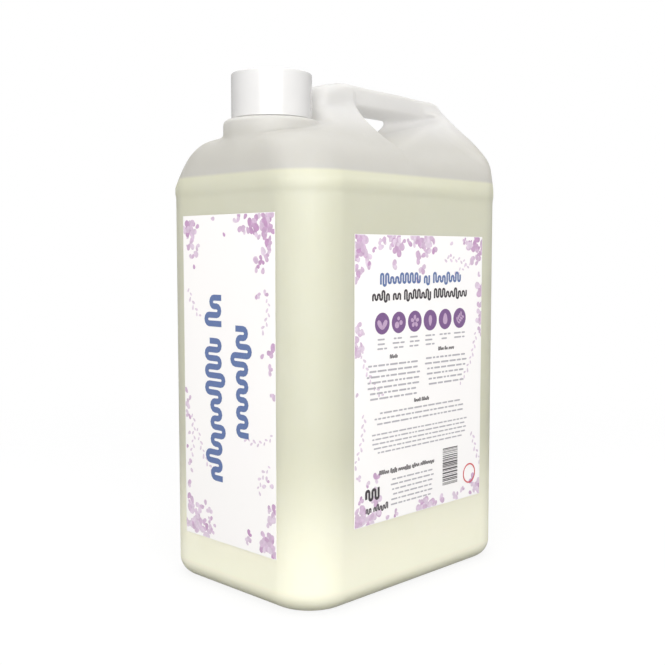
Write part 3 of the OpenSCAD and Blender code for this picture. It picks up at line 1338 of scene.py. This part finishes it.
@dataclass(frozen=True)
class Label:
    """A label: its sheet, its sprays of dabs, and what is printed on it."""

    name: str
    panel: Panel
    sprays: tuple[Spray, ...]
    twigs: tuple[Twig, ...]
    seed: int
    sheet_thickness: float = 0.2
    glue_gap: float = 0.02
    dab_gap: float = 0.004
    dab_step: float = 0.0005
    dab_steps: int = 90
    print_gap: float = 0.074

    def sheet(self) -> bpy.types.Object:
        """The label's sheet, wrapped a little round the corners where it passes the flat."""
        half_w, half_h = self.panel.width / 2, self.panel.height / 2
        wide, tall = 33, 9
        points = [
            self.panel.point(u, v, lift)
            for lift in (self.glue_gap, self.sheet_thickness)
            for v in np.linspace(-half_h, half_h, tall)
            for u in np.linspace(-half_w, half_w, wide)
        ]
        layer = wide * tall
        faces = []
        for r in range(tall - 1):
            for c in range(wide - 1):
                a = r * wide + c
                quad = [a, a + 1, a + wide + 1, a + wide]
                faces.append([layer + q for q in quad])
                faces.append(quad[::-1])
        rim = list(range(wide))
        rim += [r * wide + wide - 1 for r in range(1, tall)]
        rim += [(tall - 1) * wide + c for c in range(wide - 2, -1, -1)]
        rim += [r * wide for r in range(tall - 2, 0, -1)]
        for a, b in zip(rim, rim[1:] + rim[:1]):
            faces.append([a, b, layer + b, layer + a])
        return make_object(f"{self.name}_sheet", mesh_from(self.name, points, faces), 30)

    def dabs(self) -> bpy.types.Object:
        """The faint twigs, and the sprays of lilac blossoms over them."""
        dice = random.Random(self.seed)
        ink = InkLayer(f"{self.name}_dabs", self.panel, self.sheet_thickness + self.dab_gap)
        lifts = itertools.cycle(self.dab_step * step for step in range(self.dab_steps))
        for twig in self.twigs:
            self._draw_twig(ink, dice, twig, lifts)
        for spray in self.sprays:
            for _ in range(spray.blossoms):
                self._draw_blossom(ink, dice, spray, lifts)
        return ink.build()

    @staticmethod
    def _draw_twig(ink: InkLayer, dice: random.Random, twig: Twig, lifts: Iterator[float]) -> None:
        """Draws a twig's leaves, by turns on its left and its right.

        Args:
            ink: The layer it is drawn in.
            dice: The source of the leaves' sizes.
            twig: The twig.
            lifts: Heights, so that films that cross don't share a plane.
        """
        leaf_turn, leaf_gap = 38, 2.6
        (u, v), heading = twig.root, twig.heading
        for leaf in range(twig.leaves):
            side = leaf_turn if leaf % 2 else -leaf_turn
            length = dice.uniform(2.2, 3.2)
            ink.drop(u, v, length, length * 0.5, heading + side, 0.0, next(lifts))
            heading += twig.bend
            u += leaf_gap * math.cos(math.radians(heading))
            v += leaf_gap * math.sin(math.radians(heading))

    @staticmethod
    def _draw_blossom(
        ink: InkLayer, dice: random.Random, spray: Spray, lifts: Iterator[float]
    ) -> None:
        """Draws a cluster of one to three petals, close to one of the two edges at the root.

        Args:
            ink: The layer it is drawn in.
            dice: The source of its place, size and tone.
            spray: The spray that it belongs to.
            lifts: Heights, so that films that cross don't share a plane.
        """
        spread, closeness = 0.5, 0.4
        out = [min(1.0, abs(dice.gauss(0.0, spread))) for _ in range(2)]
        out[dice.choice((0, 1))] *= closeness
        u, v = (root + reach * way for root, reach, way in zip(spray.root, spray.reach, out))
        far = min(1.0, math.hypot(*out))
        size = dice.uniform(4.0, 6.8) * (1.0 - 0.3 * far)
        tone = dice.gauss(spray.depth, 0.22)
        turn = dice.uniform(0, 360)
        for _ in range(dice.choice((1, 1, 2, 3))):
            length = size * dice.uniform(0.7, 1.0)
            shade = min(1.0, max(0.0, tone + dice.uniform(-0.55, 0.5)))
            ink.drop(u, v, length, length * dice.uniform(0.58, 0.82), turn, shade, next(lifts))
            turn += dice.uniform(58, 95)

    def top_height(self) -> float:
        """Height of the first ink above the dabs."""
        return self.sheet_thickness + self.print_gap


def greek_row(
    ink: InkLayer, dice: random.Random, left: float, right: float, v: float, size: float
) -> None:
    """Prints a row of word-like bars that stands in for a line of small print.

    Args:
        ink: The layer it is printed in.
        dice: The source of the words' lengths.
        left: Where the row starts.
        right: Where it ends.
        v: The row's middle.
        size: The bars' height.
    """
    shortest, longest, gap = 2.0, 7.5, 0.9
    u = left
    while u < right - size * shortest:
        width = min(dice.uniform(shortest, longest) * size, right - u)
        ink.pill(u + width / 2, v, width, size)
        u += width + size * gap


def scribble(dice: random.Random, stems: int, pitch: float, weight: float, size: float) -> list[Spot]:
    """Draws a word-like scribble: stems joined by turns at the top and at the foot.

    Args:
        dice: The source of the turns' heights.
        stems: How many stems it has.
        pitch: From one stem to the next.
        weight: The width of the stroke that will follow the line.
        size: The height of the tallest stems.

    Returns:
        The line, which starts at the foot of the first stem.
    """
    turn_r = pitch / 2
    low_top, descent = 0.7, -0.2
    line = [(0.0, 0.0)]
    for stem in range(stems - 1):
        over = stem % 2 == 0
        heights = (low_top, low_top, 1.0) if over else (0.0, 0.0, 0.0, descent)
        end = size * dice.choice(heights)
        sign = 1 if over else -1
        middle = (stem * pitch + turn_r, end - sign * (turn_r + weight / 2))
        line += [
            (middle[0] - turn_r * math.cos(a), middle[1] + sign * turn_r * math.sin(a))
            for a in np.linspace(0.0, math.pi, 7)
        ]
    line.append(((stems - 1) * pitch, 0.0 if stems % 2 == 0 else size * low_top))
    return line


def scribble_row(
    ink: InkLayer, dice: random.Random, left: float, v: float, size: float, words: Sequence[int],
    upright: bool = False,
) -> None:
    """Prints a row of scribbles with the rhythm of a headline, but no letters.

    Args:
        ink: The layer it is printed in.
        dice: The source of the scribbles' forms.
        left: Where the row starts, along the reading direction.
        v: The baseline, across the reading direction.
        size: The height of the tallest stems.
        words: How many stems each word has.
        upright: True if the row reads up the label.
    """
    pitch, weight, word_gap = size * 0.32, size * 0.222, size * 0.42
    at = left
    for stems in words:
        line = scribble(dice, stems, pitch, weight, size)
        spots = [(-v - y, at + x) if upright else (at + x, v + y) for x, y in line]
        ink.ribbon(spots, weight)
        at += (stems - 1) * pitch + weight + word_gap


@dataclass(frozen=True)
class PrintBlock:
    """A block of small print.

    It has its middle along u, the height v of its top row, a number of rows, the width of the
    longest, the step from row to row, and the height of the bars.
    """

    middle: float
    top: float
    rows: int
    width: float
    pitch: float
    size: float


@dataclass(frozen=True)
class FrontLabel(Label):
    """The tall label on the narrow face: a headline that reads upwards between sprays."""

    def headline(self) -> bpy.types.Object:
        """Two blue rows of scribbles that read up the label."""
        ink = InkLayer("front_label_headline", self.panel, self.top_height())
        dice = random.Random(self.seed + 1)
        scribble_row(ink, dice, -57.0, 5.2, 15.5, (17, 4), upright=True)
        scribble_row(ink, dice, -29.0, -18.0, 15.5, (13,), upright=True)
        return ink.build()


@dataclass(frozen=True)
class SideLabel(Label):
    """The broad label: headline, a row of discs with plain signs, and blocks of small print."""

    disc_count: int = 6
    disc_pitch: float = 14.08
    disc_radius: float = 6.1
    disc_height: float = 31.5
    bar_ends: Span = (20.0, 34.5)
    bars_from_to: Span = (-47.0, -69.5)
    ring_middle: Spot = (46.5, -66.0)
    ring_radius: float = 5.8
    ring_weight: float = 0.9
    sign_tone: float = 0.2

    def headline(self) -> bpy.types.Object:
        """The blue row of scribbles."""
        ink = InkLayer("side_label_headline", self.panel, self.top_height())
        scribble_row(ink, random.Random(self.seed + 1), -36.5, 53.2, 6.6, (17, 3, 13))
        return ink.build()

    def dark_print(self) -> bpy.types.Object:
        """The dark rows of scribbles and the bar pattern."""
        ink = InkLayer("side_label_dark_print", self.panel, self.top_height())
        dice = random.Random(self.seed + 2)
        scribble_row(ink, dice, -43.0, 44.2, 6.0, (8, 4, 13, 17))
        scribble_row(ink, dice, -37.0, -54.0, 2.7, (10, 7, 13, 8, 15))
        scribble_row(ink, dice, -48.0, -66.0, 8.0, (5,))
        scribble_row(ink, dice, -48.0, -74.0, 4.0, (4, 10))
        scribble_row(ink, dice, -28.5, 11.4, 2.4, (9,))
        scribble_row(ink, dice, 15.0, 13.0, 2.4, (7, 4, 7))
        scribble_row(ink, dice, -7.0, -15.6, 2.4, (8, 9))
        left, right = self.bar_ends
        v, foot = self.bars_from_to
        while v > foot:
            bar = dice.choice((0.3, 0.3, 0.6, 0.9))
            ink.add([(left, v - bar), (right, v - bar), (right, v), (left, v)])
            v -= bar + dice.choice((0.3, 0.3, 0.6, 0.8))
        return ink.build()

    def small_print(self) -> bpy.types.Object:
        """Grey rows in blocks, with ragged ends, and a few short rows under each disc."""
        ink = InkLayer("side_label_small_print", self.panel, self.top_height())
        dice = random.Random(self.seed + 3)
        for block in (
            PrintBlock(-25.0, 8.2, 7, 46.0, 3.1, 1.05),
            PrintBlock(23.0, 9.2, 6, 42.0, 3.1, 1.05),
            PrintBlock(0.0, -18.8, 3, 84.0, 3.0, 0.95),
            PrintBlock(0.0, -30.6, 5, 92.0, 2.6, 0.85),
            PrintBlock(-8.0, -58.0, 6, 40.0, 2.9, 0.9),
        ):
            for row in range(block.rows):
                half = block.width / 2 * dice.uniform(0.80, 1.0)
                u, v = block.middle, block.top - row * block.pitch
                greek_row(ink, dice, u - half, u + half, v, block.size)
        caption_top, caption_pitch, caption_size = 22.6, 2.6, 0.95
        for i in range(self.disc_count):
            u = self._disc_u(i)
            for row in range(dice.choice((2, 3, 3))):
                half = dice.uniform(3.2, 5.6)
                v = caption_top - caption_pitch * row
                greek_row(ink, dice, u - half, u + half, v, caption_size)
        return ink.build()

    def _disc_u(self, index: int) -> float:
        """Where a disc stands along u."""
        return (index - (self.disc_count - 1) / 2) * self.disc_pitch

    def discs(self) -> bpy.types.Object:
        """The row of purple discs."""
        ink = InkLayer("side_label_discs", self.panel, self.top_height())
        for i in range(self.disc_count):
            ink.disc(self._disc_u(i), self.disc_height, self.disc_radius)
        return ink.build()

    def signs(self) -> bpy.types.Object:
        """A plain pale sign in each disc: leaves, a drop, bubbles, a flower."""
        ink = InkLayer("side_label_signs", self.panel, self.top_height() + 0.03)
        v = self.disc_height
        for i, draw in enumerate((self._leaves, self._bubbles, self._flower) * 2):
            draw(ink, self._disc_u(i), v, i >= self.disc_count // 2)
        return ink.build()

    def ring(self) -> bpy.types.Object:
        """A plain red ring in the lower corner, drawn as two halves."""
        ink = InkLayer("side_label_ring", self.panel, self.top_height())
        (u, v), radius = self.ring_middle, self.ring_radius
        for start in (0.0, math.pi):
            ink.ribbon([
                (u + radius * math.cos(a), v + radius * math.sin(a))
                for a in np.linspace(start, start + math.pi, 17)
            ], self.ring_weight)
        return ink.build()

    def _leaves(self, ink: InkLayer, u: float, v: float, single: bool) -> None:
        """Two leaves, or one."""
        for turn in ((90,) if single else (55, 125)):
            ink.drop(u, v - 3.4, 6.4, 3.0, turn, self.sign_tone)

    def _bubbles(self, ink: InkLayer, u: float, v: float, single: bool) -> None:
        """Three bubbles, or a drop."""
        if single:
            ink.drop(u, v + 3.6, 6.8, 4.2, 270, self.sign_tone)
            return
        for du, dv, r in ((-1.6, -1.4, 1.9), (1.8, -0.2, 1.4), (-0.3, 2.3, 1.1)):
            ink.disc(u + du, v + dv, r, self.sign_tone, 20)

    def _flower(self, ink: InkLayer, u: float, v: float, single: bool) -> None:
        """A flower of five petals, or a slanting sprig."""
        if single:
            for k, turn in itertools.product(range(4), (100, -20)):
                ink.drop(u - 2.2 + 1.3 * k, v - 2.0 + 1.1 * k, 2.8, 1.3, turn, self.sign_tone)
            return
        for turn in range(90, 450, 72):
            a = math.radians(turn)
            root_u, root_v = u + 0.7 * math.cos(a), v + 0.7 * math.sin(a)
            ink.drop(root_u, root_v, 3.0, 2.2, turn, self.sign_tone)


# ---- Studio ----------------------------------------------------------------------------------


@dataclass(frozen=True)
class Softbox:
    """A rectangular area light that looks at a point, in metres."""

    name: str
    place: Point
    target: Point
    width: float
    height: float
    power: float

    def build(self) -> None:
        """Adds the light."""
        lamp = bpy.data.lights.new(self.name, "AREA")
        lamp.shape = "RECTANGLE"
        lamp.size, lamp.size_y = self.width, self.height
        lamp.energy = self.power
        holder = bpy.data.objects.new(self.name, lamp)
        bpy.context.scene.collection.objects.link(holder)
        holder.location = self.place
        look = Vector(self.target) - Vector(self.place)
        holder.rotation_euler = look.to_track_quat("-Z", "Y").to_euler()


@dataclass(frozen=True)
class Studio:
    """The floor, the lights, the surrounding white and the camera."""

    camera_place: Point = (-0.4317, -0.4225, 0.1935)
    camera_turn: float = 45.24
    camera_dip: float = 4.51
    lens: float = 52.12
    sensor_width: float = 36.0
    clip: Span = (0.01, 50.0)
    floor_half: float = 6.0
    floor_drop: float = 0.0003
    surround_light: float = 0.55

    def camera(self) -> None:
        """Stands the camera and makes it the scene's own."""
        data = bpy.data.cameras.new("camera")
        data.lens = self.lens
        data.sensor_width = self.sensor_width
        data.clip_start, data.clip_end = self.clip
        camera = bpy.data.objects.new("camera", data)
        bpy.context.scene.collection.objects.link(camera)
        turn, dip = math.radians(self.camera_turn), math.radians(self.camera_dip)
        ahead = Vector((
            math.sin(turn) * math.cos(dip), math.cos(turn) * math.cos(dip), -math.sin(dip)
        ))
        camera.location = self.camera_place
        camera.rotation_euler = ahead.to_track_quat("-Z", "Y").to_euler()
        bpy.context.scene.camera = camera

    def floor(self) -> None:
        """Lays the floor just under the bottle."""
        half, z = self.floor_half, -self.floor_drop
        corners = [(-half, -half, z), (half, -half, z), (half, half, z), (-half, half, z)]
        mesh = bpy.data.meshes.new("floor")
        mesh.from_pydata(corners, [], [(0, 1, 2, 3)])
        floor = make_object("floor", mesh)
        mesh.materials.append(StudioFloor().material())

    def surround(self) -> None:
        """A white surround that the camera sees brighter than it lights."""
        world = bpy.data.worlds.new("surround")
        bpy.context.scene.world = world
        world.use_nodes = True
        nodes, links = world.node_tree.nodes, world.node_tree.links
        backdrop = nodes["Background"]
        backdrop.inputs["Color"].default_value = (1.0, 1.0, 1.0, 1.0)
        path = nodes.new("ShaderNodeLightPath")
        strength = nodes.new("ShaderNodeMapRange")
        strength.inputs["To Min"].default_value = self.surround_light
        strength.inputs["To Max"].default_value = 1.0
        links.new(path.outputs["Is Camera Ray"], strength.inputs["Value"])
        links.new(strength.outputs["Result"], backdrop.inputs["Strength"])

    def lights(self) -> None:
        """A broad key light on the labels' corner, and a fainter one overhead."""
        middle = (0.0, 0.0, 0.15)
        for box in (
            Softbox("key", (-1.12, -1.16, 0.67), middle, 1.9, 1.2, 34.0),
            Softbox("overhead", (0.2, 0.2, 1.6), (0.0, 0.0, 0.0), 2.0, 2.0, 15.0),
        ):
            box.build()

    def build(self) -> None:
        """Sets the whole studio up."""
        self.camera()
        self.floor()
        self.surround()
        self.lights()
        bpy.context.scene.view_settings.view_transform = "Standard"


# ---- Assembly --------------------------------------------------------------------------------


def dress(piece: bpy.types.Object, material: bpy.types.Material, body: Body) -> None:
    """Gives a piece its material and its place in the model.

    Args:
        piece: The object.
        material: What it is covered with.
        body: The body that it rides on.
    """
    piece.data.materials.clear()
    piece.data.materials.append(material)
    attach(piece, body.value)
    log.info("%s: %d faces on %s", piece.name, len(piece.data.polygons), body.value)


def panel_of(node: str, face: Face, flat_half: float) -> Panel:
    """Works out a label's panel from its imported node.

    Args:
        node: The label's node.
        face: The side of the bottle that it is on.
        flat_half: Half the width of the flat that it is stuck to.

    Returns:
        The panel.
    """
    low, high = (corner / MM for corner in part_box(node))
    centre = (low + high) / 2
    if face is Face.FRONT:
        middle = (high.x, centre.y, centre.z)
        width = high.y - low.y
    else:
        middle = (centre.x, high.y, centre.z)
        width = high.x - low.x
    return Panel(face, middle, width, high.z - low.z, flat_half)


def build_labels() -> None:
    """Makes both labels and their print."""
    film = LabelFilm().material()
    wash = WatercolourInk().material()
    blue = FlatInk("blue_ink", (0.100, 0.152, 0.320)).material()
    dark = FlatInk("dark_ink", (0.045, 0.036, 0.042)).material()
    grey = FlatInk("grey_ink", (0.40, 0.385, 0.41)).material()
    purple = FlatInk("purple_ink", (0.172, 0.084, 0.222)).material()
    pale = FlatInk("pale_ink", (0.470, 0.330, 0.480)).material()
    red = FlatInk("red_ink", (0.560, 0.060, 0.070)).material()
    front = FrontLabel(
        "front_label",
        panel_of("front_label", Face.FRONT, 38.0),
        (
            Spray((-38.0, 92.0), (24.0, -38.0), 22, 0.5),
            Spray((38.0, 92.0), (-46.0, -42.0), 48, 0.6),
            Spray((-39.0, -92.0), (34.0, 54.0), 38, 0.3),
            Spray((39.0, -92.0), (-22.0, 40.0), 26, 0.42),
            Spray((-38.5, -10.0), (6.0, -40.0), 6, 0.15),
            Spray((39.0, 22.0), (-8.0, -34.0), 7, 0.25),
        ),
        (
            Twig((-33.0, -22.0), -78.0, -3.0, 10), Twig((-28.0, -30.0), -84.0, 4.0, 13),
            Twig((38.0, -26.0), 228.0, -7.0, 11), Twig((-35.0, 52.0), -84.0, 6.0, 8),
            Twig((34.0, 48.0), -70.0, -8.0, 8), Twig((36.0, -44.0), 200.0, 9.0, 8),
        ),
        seed=11,
    )
    side = SideLabel(
        "side_label",
        panel_of("side_label", Face.SIDE, 61.0),
        (
            Spray((-57.0, 80.0), (24.0, -34.0), 26, 0.5),
            Spray((-34.0, 80.0), (44.0, -17.0), 24, 0.35),
            Spray((-6.0, 80.0), (36.0, -24.0), 20, 0.4),
            Spray((57.0, 80.0), (-20.0, -30.0), 22, 0.55),
            Spray((58.0, 50.0), (-7.0, -60.0), 18, 0.3),
            Spray((-58.0, 34.0), (8.0, -60.0), 12, 0.3),
            Spray((-57.0, -80.0), (44.0, 28.0), 34, 0.25),
            Spray((57.0, -80.0), (-24.0, 16.0), 16, 0.3),
            Spray((0.0, -80.5), (44.0, 7.0), 14, 0.25),
        ),
        (
            Twig((20.0, 67.0), 8.0, -3.0, 9), Twig((28.0, 56.0), 40.0, -4.0, 8),
            Twig((-53.0, 20.0), -80.0, 3.0, 14), Twig((52.0, 22.0), -96.0, -3.0, 14),
            Twig((-50.0, -18.0), -86.0, -3.0, 12), Twig((49.0, -40.0), -80.0, 3.0, 10),
        ),
        seed=23,
    )
    printed = (
        (front.sheet(), film), (front.dabs(), wash), (front.headline(), blue),
        (side.sheet(), film), (side.dabs(), wash), (side.headline(), blue),
        (side.dark_print(), dark), (side.small_print(), grey), (side.discs(), purple),
        (side.signs(), pale), (side.ring(), red),
    )
    for piece, material in printed:
        dress(piece, material, Body.BOTTLE)
    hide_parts("front_label")
    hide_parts("side_label")


def main() -> None:
    logging.basicConfig(level=logging.INFO, format="%(message)s")
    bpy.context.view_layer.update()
    Studio().build()
    bottle = Bottle().build()
    fill_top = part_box("shampoo_fill")[1].z
    dress(bottle, CanPlastic(fill_top).material(), Body.BOTTLE)
    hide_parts("bottle_body")
    closure = Closure()
    cap = closure.cap()
    dress(cap, CapPlastic().material(), Body.CAP)
    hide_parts("screw_cap")
    liner = closure.liner()
    dress(liner, LinerFoam().material(), Body.LINER)
    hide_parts("cap_liner")
    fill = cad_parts["shampoo_fill"]
    fill.data.materials.clear()
    fill.data.materials.append(ShampooLiquid().material())
    build_labels()


if __name__ == "__main__":
    main()
